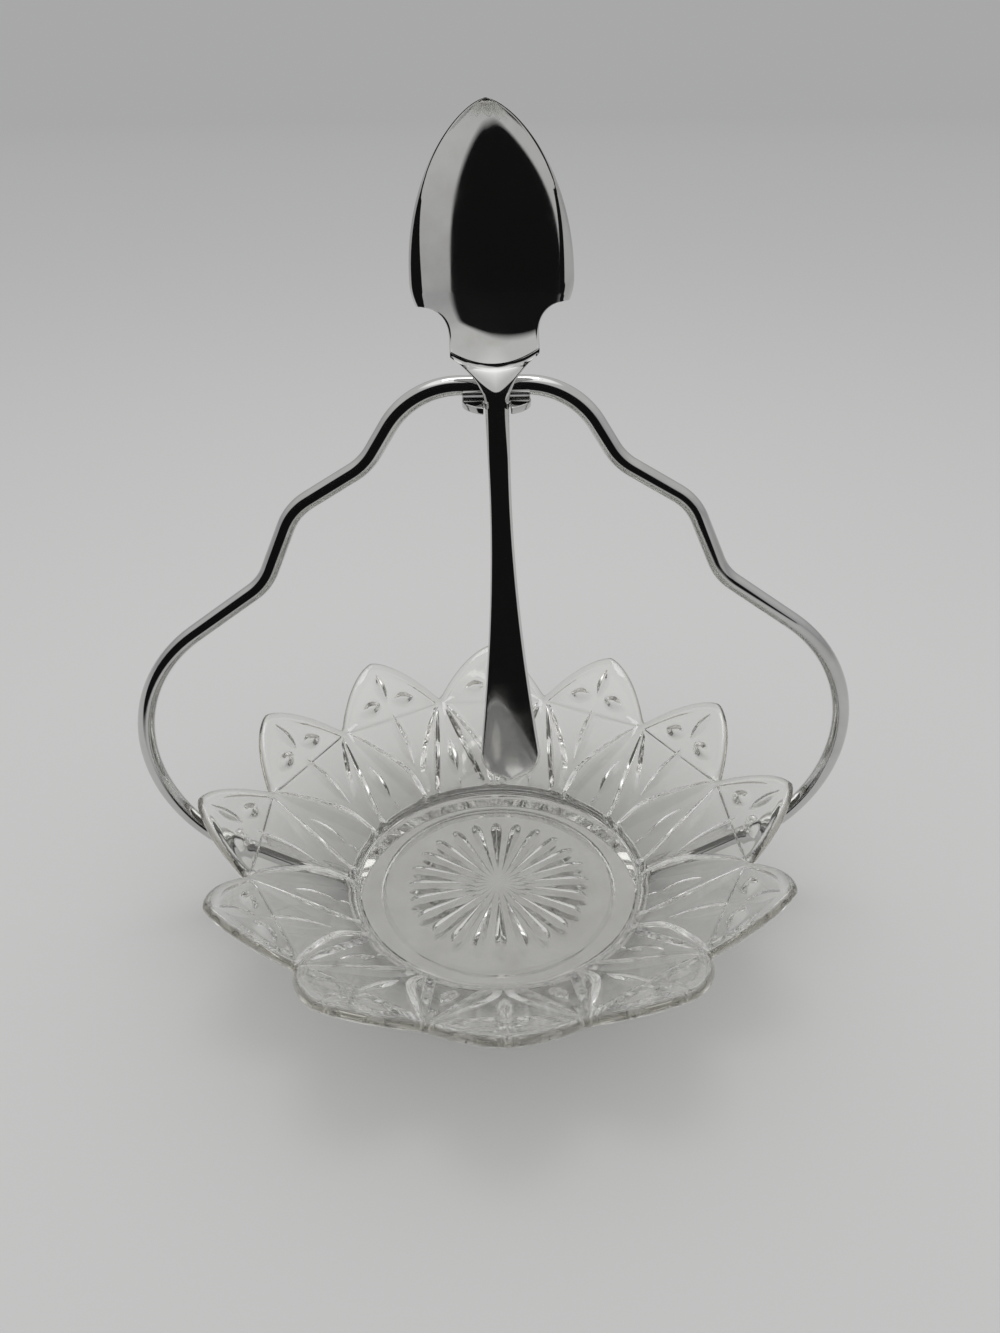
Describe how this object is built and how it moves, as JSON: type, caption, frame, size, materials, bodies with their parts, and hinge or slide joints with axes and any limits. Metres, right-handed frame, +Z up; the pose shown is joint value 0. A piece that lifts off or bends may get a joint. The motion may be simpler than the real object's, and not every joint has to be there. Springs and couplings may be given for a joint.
{
  "type": "jam dish",
  "caption": "Pressed-glass petal dish seated in a round chromed tray under a stepped bent-rod arch handle, with a jam spoon hanging from a hook beneath the crown.",
  "frame": {"origin": "centre of the tray's underside, on the table", "axes": "+Z up, +X along the handle arch, -Y to the front, where the spoon hangs"},
  "size_m": [0.176, 0.154, 0.1909],
  "materials": {
    "stand_chrome": "bright chromium plate on steel, polished, with light handling marks",
    "spoon_plate": "polished plate on a stamped spoon, slightly softer than the stand",
    "clear_glass": "clear pressed glass, fire polished, with a trace of warm grey in its thick edges"
  },
  "bodies": {
    "stand": {"base_tray": "stand_chrome", "handle_rod": "stand_chrome", "spoon_hook": "stand_chrome"},
    "dish": {"glass_dish": "clear_glass"},
    "spoon": {"jam_spoon": "spoon_plate"}
  },
  "joints": [
    {"name": "dish_lift", "type": "slide", "parent": "stand", "child": "dish", "axis": [0, 0, 1], "range_m": [0, 0.03]},
    {"name": "spoon_lift", "type": "slide", "parent": "stand", "child": "spoon", "axis": [0, -0.7071, 0.7071], "range_m": [0, 0.06]}
  ]
}
